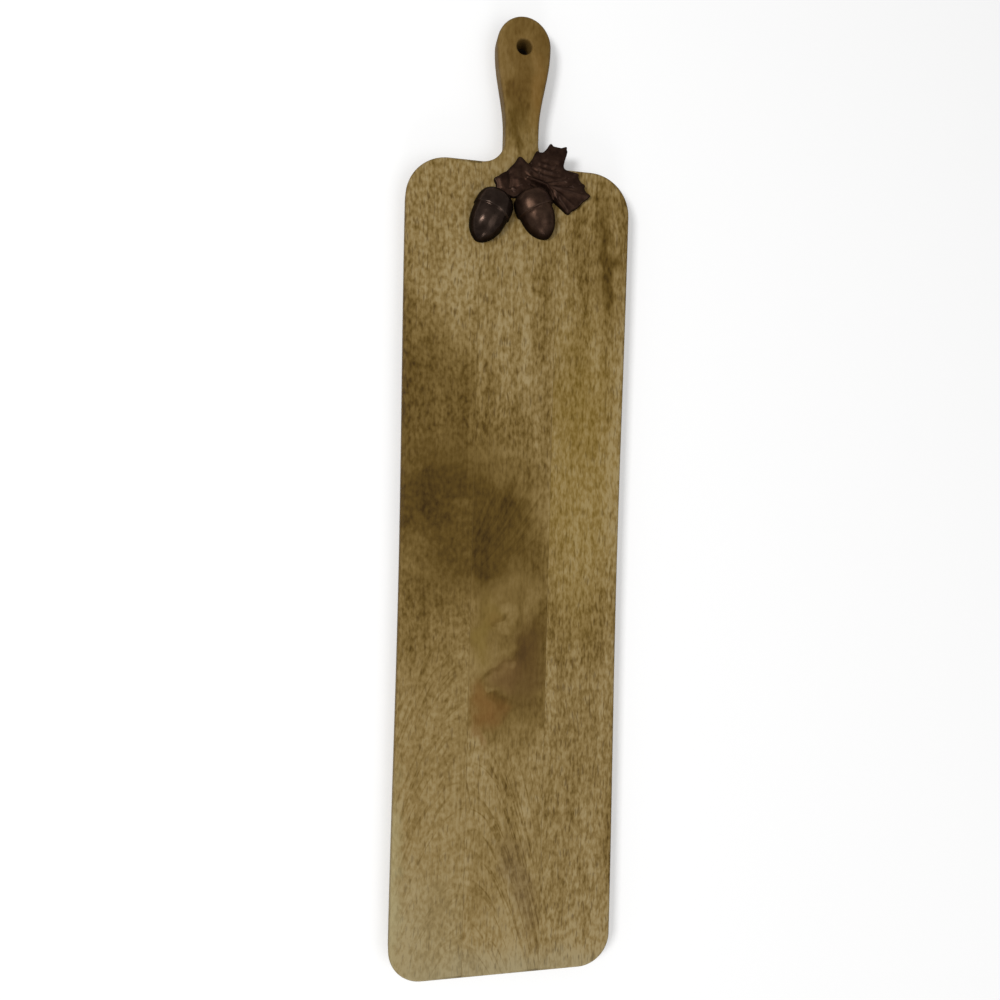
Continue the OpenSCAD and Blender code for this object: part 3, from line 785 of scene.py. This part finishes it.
def dark_bronze(name, deep, mid, worn_and_lit, smooth, dull, contact_shade_h):
    """Cast metal under a dark satin patina, lighter on what stands proud, where the patina has thinned and a
    highlight is painted along the ridges, and darkened with painted shade from the face up to some height."""
    material, tree, finish = finish_of(name)
    point = add_node(tree, "ShaderNodeTexCoord", {})["Object"]
    mottle = noise(tree, measured(tree, point, (2, 5, 1), (patina_size,) * 3), 3, 0.6)
    grit = noise(tree, measured(tree, point, (4, 1, 3), (grit_size,) * 3), 2)
    colour = blend(tree, ease(tree, mottle, *patina_range), deep, mid)
    # Thinned patina on what stands proud, which also paints a highlight along the ridges
    proud = add_node(tree, "ShaderNodeNewGeometry", {})["Pointiness"]
    rubbed_and_lit = combine(tree, ease(tree, proud, *rubbed_and_lit_range), rubbed_and_lit_strength, "MULTIPLY")
    colour = blend(tree, rubbed_and_lit, colour, worn_and_lit)
    # Painted shade: the colour darkens towards the face of the board, up to some height
    height = add_node(tree, "ShaderNodeSeparateXYZ", {0: point})[2]
    contact_shade = ease(tree, height, board_t + contact_shade_h, board_t)
    contact_shade = combine(tree, contact_shade, contact_shade_strength, "MULTIPLY")
    colour = blend(tree, contact_shade, colour, contact_shade_colour)
    tree.links.new(colour, finish.inputs["Base Color"])
    rough = add_node(tree, "ShaderNodeMapRange", {"Value": mottle, "To Min": smooth, "To Max": dull})[0]
    tree.links.new(rough, finish.inputs["Roughness"])
    finish.inputs["Metallic"].default_value = bronze_metal
    finish.inputs["Specular IOR Level"].default_value = bronze_gloss
    finish.inputs["Specular Tint"].default_value = bronze_gloss_tint
    bumps = {"Height": grit, "Strength": grit_bump, "Distance": grit_relief}
    bump = add_node(tree, "ShaderNodeBump", bumps)[0]
    tree.links.new(bump, finish.inputs["Normal"])
    return material


# Both acorns have the same patina; the left one's greyer, cooler copy is painted cool light from the left
grey_bronze = dark_bronze(
    "bronze_grey", shade(45, 35, 29), shade(61, 49, 42), shade(88, 76, 68),
    smooth=0.16, dull=0.32, contact_shade_h=acorn_contact_shade_h,
)
brown_bronze = dark_bronze(
    "bronze_brown", shade(52, 37, 29), shade(72, 54, 43), shade(96, 78, 67),
    smooth=0.3, dull=0.44, contact_shade_h=acorn_contact_shade_h,
)
left_acorn_shape = (left_acorn_place, left_acorn_lean, left_nut_d, left_nut_l)
right_acorn_shape = (right_acorn_place, right_acorn_lean, right_nut_d, right_nut_l)
left_acorn = acorn("left_acorn_casting", *left_acorn_shape)
right_acorn = acorn("right_acorn_casting", *right_acorn_shape)
acorn_thread = [(thread_r, board_t - overrun), (thread_r, acorn_screws_high.z + thread_end_gap)]
for casting, place, bronze, node in (
    (left_acorn, left_acorn_place, grey_bronze, "left_acorn"),
    (right_acorn, right_acorn_place, brown_bronze, "right_acorn"),
):
    cut_away(casting, bore("acorn_thread", place, acorn_thread))
    casting.data.materials.clear()
    casting.data.materials.append(bronze)
    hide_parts(node)
    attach(casting, "root")

# Oak leaf
# A flat-backed casting with the same patina: a lobed leaf with raised ribs and folds. It lies on the
# neck and the right shoulder, stands over the notch between them and makes room for both caps.
leaf_low, leaf_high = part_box("oak_leaf")
leaf_edge_t = 0.003
leaf_crown = 0.0035
leaf_round_r = 0.0015
leaf_gap = 0.0003
tip_round = 0.5
tip_steps_each = 14
bay_pull = 0.97
leaf_rings = 90
ring_crowding = 1.2
crease_angle = 50
leaf_contact_shade_h = 0.005
# Each tip and notch of the edge: its direction from the heart, and its distance in shares of the reach
leaf_tips = [
    (178, 0.93), (170, 0.785), (159, 0.675), (131, 0.675), (127, 0.44), (100, 0.65), (88, 0.61),
    (79, 0.825), (68.5, 0.79), (58, 0.915), (53.5, 0.84), (39.5, 0.54), (21, 0.785), (12, 0.76),
    (4.5, 0.865), (-3, 0.87), (-7, 1), (-27, 0.82), (-45, 0.755), (-49, 0.445), (-55, 0.35),
    (-75, 0.27), (-105, 0.21), (-140, 0.48), (-155, 0.69), (-168, 0.89),
]
vein_h = 0.0015
vein_w = 0.0016
vein_end_share = 0.4
# Each rib or fold: its rise, its breadth, and its route from the heart in shares of the reach
leaf_veins = [
    (1.3, 1, [(-0.29, 0.06), (-0.1, 0), (0.07, -0.05), (0.15, -0.16), (0.19, -0.27)]),
    (-0.9, 1, [(-0.2, -0.05), (-0.04, -0.11), (0.08, -0.17)]),
    (0.8, 0.8, [(0.12, -0.06), (0.23, -0.13), (0.27, -0.24), (0.3, -0.35)]),
    (1, 0.8, [(0.23, -0.13), (0.35, -0.27), (0.51, -0.46)]),
    (0.6, 0.8, [(0.28, -0.16), (0.44, -0.25), (0.62, -0.36)]),
    (0.8, 0.9, [(0.15, -0.07), (0.36, -0.09), (0.57, -0.13), (0.92, -0.15)]),
    (0.6, 0.9, [(0.36, -0.09), (0.6, -0.04), (0.84, 0.04)]),
    (0.8, 0.9, [(0.1, -0.03), (0.28, 0.03), (0.46, 0.08), (0.72, 0.25)]),
    (0.8, 1.2, [(-0.24, 0.19), (0.01, 0.1), (0.24, 0.06), (0.44, 0.14)]),
    (0.75, 1.2, [(-0.18, 0.28), (0.07, 0.2), (0.32, 0.17)]),
    (0.7, 1.2, [(-0.1, 0.36), (0.15, 0.3), (0.36, 0.3)]),
    (0.6, 1.2, [(0.01, 0.45), (0.3, 0.42)]),
    (0.4, 1, [(0.15, 0.3), (0.2, 0.5), (0.28, 0.72)]),
    (0.6, 1, [(-0.2, 0.04), (-0.3, 0.2), (-0.42, 0.44)]),
    (0.7, 1.7, [(-0.47, 0.2), (-0.46, 0.05), (-0.43, -0.1)]),
    (-1.1, 1.2, [(-0.64, 0.12), (-0.62, 0), (-0.63, -0.12)]),
    (0.7, 1.2, [(-0.81, 0.05), (-0.79, -0.03), (-0.76, -0.13)]),
]
knot_r = 0.0026
knot_angle = -163.5
knot_share = 0.57


def leaf_outline():
    """Edge of the leaf from its heart: round tips and notches, with a shallow bay between each two."""
    tips = [towards(angle) * share for angle, share in leaf_tips]
    edge = []
    for before, tip, after in zip(tips[-1:] + tips, tips, tips[1:] + tips[:1]):
        start = tip.lerp((before + tip) / 2 * bay_pull, tip_round)
        end = tip.lerp((tip + after) / 2 * bay_pull, tip_round)
        for i in range(tip_steps_each + 1):
            u = i / tip_steps_each
            edge.append(start.lerp(tip, u).lerp(tip.lerp(end, u), u))
        edge.append((tip + after) / 2 * bay_pull)
    return edge


leaf_shares = leaf_outline()
leaf_left = min(spot.x for spot in leaf_shares)
leaf_right = max(spot.x for spot in leaf_shares)
leaf_top = max(spot.y for spot in leaf_shares)
leaf_reach = (leaf_high.x - leaf_low.x) / (leaf_right - leaf_left)
leaf_place = Vector((leaf_low.x - leaf_left * leaf_reach, leaf_high.y - leaf_top * leaf_reach))
knot_place = towards(knot_angle) * knot_share * leaf_reach


def way_off(spot, start, end):
    """Distance of a place from one stretch of a rib."""
    stretch = end - start
    share = min(1, max(0, (spot - start).dot(stretch) / stretch.length_squared))
    return (spot - start - stretch * share).length


def leaf_height(spot, share):
    """Height of the leaf above the face at a place that lies some share of the way to its edge."""
    rises = []
    for rise, spread, route in leaf_veins:
        places = [Vector(place) * leaf_reach for place in route]
        off = min(way_off(spot, a, b) for a, b in zip(places, places[1:]))
        rises.append(rise * math.exp(-((off / vein_w / spread) ** 2)))
    relief = vein_h * (max(rises) + min(rises)) * (1 - (1 - vein_end_share) * share**3)
    height = leaf_edge_t + leaf_crown * (1 - share**2) + relief
    dome = knot_r**2 - (spot - knot_place).length_squared
    if dome > 0:
        height = max(height, leaf_edge_t + math.sqrt(dome))
    return height


def leaf_casting():
    """The leaf in relief, flat at its back, before anything is cut out of it."""
    mesh = bmesh.new()
    edge = [spot * leaf_reach for spot in leaf_shares]
    count = len(edge)
    top = mesh.verts.new((leaf_place.x, leaf_place.y, board_t + leaf_height(Vector((0, 0)), 0)))
    rings = []
    for step in range(1, leaf_rings + 1):
        share = math.sin(math.pi / 2 * step / leaf_rings) ** ring_crowding
        ring = []
        for reach in edge:
            spot = reach * share
            brink = max(0, leaf_round_r - (reach - spot).length)
            drop = leaf_round_r - math.sqrt(leaf_round_r**2 - brink**2)
            height = leaf_height(spot, share) - drop
            ring.append(mesh.verts.new((leaf_place.x + spot.x, leaf_place.y + spot.y, board_t + height)))
        rings.append(ring)
    rings.append([mesh.verts.new((v.co.x, v.co.y, board_t)) for v in rings[-1]])
    for i in range(count):
        j = (i + 1) % count
        mesh.faces.new((top, rings[0][i], rings[0][j])).smooth = True
        for inner, outer in zip(rings, rings[1:]):
            mesh.faces.new((inner[i], outer[i], outer[j], inner[j])).smooth = True
    mesh.faces.new(rings[-1])
    return put_in_scene("oak_leaf_casting", mesh)


leaf = leaf_casting()
cut_away(leaf, acorn("left_cutter", *left_acorn_shape, grow=leaf_gap))
cut_away(leaf, acorn("right_cutter", *right_acorn_shape, grow=leaf_gap))
leaf_thread = [(thread_r, board_t - overrun), (thread_r, leaf_screws_high.z + thread_end_gap)]
for place in leaf_screw_places:
    cut_away(leaf, bore("leaf_thread", place, leaf_thread))
# The cuts leave faces of many corners, which are divided into triangles
cut_faces = bmesh.new()
cut_faces.from_mesh(leaf.data)
bmesh.ops.triangulate(cut_faces, faces=[face for face in cut_faces.faces if len(face.verts) > 4])
cut_faces.to_mesh(leaf.data)
cut_faces.free()
leaf.data.set_sharp_from_angle(angle=math.radians(crease_angle))
leaf.data.materials.clear()
leaf_bronze = dark_bronze(
    "bronze_leaf", shade(45, 30, 23), shade(64, 46, 36), shade(92, 72, 62),
    smooth=0.36, dull=0.52, contact_shade_h=leaf_contact_shade_h,
)
leaf.data.materials.append(leaf_bronze)
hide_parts("oak_leaf")
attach(leaf, "root")

# Screws
# Four countersunk steel screws with hexagon sockets and a satin zinc plating. They are driven in from
# the back, through the wood, and draw the castings down on the face.
plating_sizes = (0.0006, 0.0006, 0.0003)
plating_colours = (shade(128, 128, 124), shade(176, 175, 168))
steel_smooth = 0.25
steel_dull = 0.45
steel, steel_tree, steel_finish = finish_of("zinc_plate")
steel_point = add_node(steel_tree, "ShaderNodeTexCoord", {})["Object"]
plating = noise(steel_tree, measured(steel_tree, steel_point, (1, 2, 3), plating_sizes), 3)
steel_colour = blend(steel_tree, plating, *plating_colours)
steel_tree.links.new(steel_colour, steel_finish.inputs["Base Color"])
steel_sheen = {"Value": plating, "To Min": steel_smooth, "To Max": steel_dull}
steel_rough = add_node(steel_tree, "ShaderNodeMapRange", steel_sheen)[0]
steel_tree.links.new(steel_rough, steel_finish.inputs["Roughness"])
steel_finish.inputs["Metallic"].default_value = 1
for node in ("acorn_screws", "leaf_screws"):
    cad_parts[node].data.materials.clear()
    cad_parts[node].data.materials.append(steel)

# Floor and light
# A plain pale studio floor under the board, with a painted shadow right under the hanging hole. A soft lamp
# stands to the left, a broad weak one to the right and a low one in front, under an even sky.
floor_half = 6.0
floor_colour = (0.86, 0.86, 0.86, 1)
floor_rough = 0.9
floor_glow = 0.2
hole_shade_r = 0.016
hole_shade_colour = shade(58, 46, 36)
sky_strength = 0.38
floor_mesh = bmesh.new()
bmesh.ops.create_grid(floor_mesh, x_segments=1, y_segments=1, size=floor_half)
floor = put_in_scene("floor", floor_mesh)

paint, paint_tree, paint_finish = finish_of("floor_paint")
paint_finish.inputs["Roughness"].default_value = floor_rough
paint_finish.inputs["Specular IOR Level"].default_value = 0.0
seen = add_node(paint_tree, "ShaderNodeLightPath", {})
shown = combine(paint_tree, seen["Is Camera Ray"], seen["Is Glossy Ray"], "MAXIMUM")
shown = combine(paint_tree, shown, seen["Is Transmission Ray"], "MAXIMUM")
paint_finish.inputs["Emission Color"].default_value = (1, 1, 1, 1)
paint_point = add_node(paint_tree, "ShaderNodeTexCoord", {})["Object"]
# A painted shadow: a dark patch on the floor under the hanging hole, where the floor's glow is left out too
hole_shadow = patch(paint_tree, paint_point, (0, hang_y), (hole_shade_r, hole_shade_r), 0)
pale = blend(paint_tree, hole_shadow, floor_colour, hole_shade_colour)
paint_tree.links.new(pale, paint_finish.inputs["Base Color"])
shown = combine(paint_tree, shown, hole_shadow, "SUBTRACT")
glow = {0: shown, 1: floor_glow}
glow = add_node(paint_tree, "ShaderNodeMath", glow, operation="MULTIPLY", use_clamp=True)[0]
paint_tree.links.new(glow, paint_finish.inputs["Emission Strength"])
floor.data.materials.append(paint)

sky = bpy.data.worlds.new("sky")
sky.use_nodes = True
sky.node_tree.nodes["Background"].inputs["Color"].default_value = (1, 1, 1, 1)
sky.node_tree.nodes["Background"].inputs["Strength"].default_value = sky_strength
bpy.context.scene.world = sky


def lamp(name, place, size, power):
    """A square soft lamp that shines on the middle of the board."""
    light = bpy.data.lights.new(name, "AREA")
    light.energy = power
    light.size = size
    made = bpy.data.objects.new(name, light)
    made.location = place
    made.rotation_euler = (-Vector(place)).to_track_quat("-Z", "Y").to_euler()
    bpy.context.scene.collection.objects.link(made)


lamp("key_lamp", (-1.5, 0.3, 2.0), 0.7, 32.8)
lamp("fill_lamp", (1.3, -0.9, 2.2), 1.6, 12.6)
lamp("low_lamp", (0.25, -3.2, 0.95), 1.0, 21)

bpy.context.scene.view_settings.view_transform = "Standard"
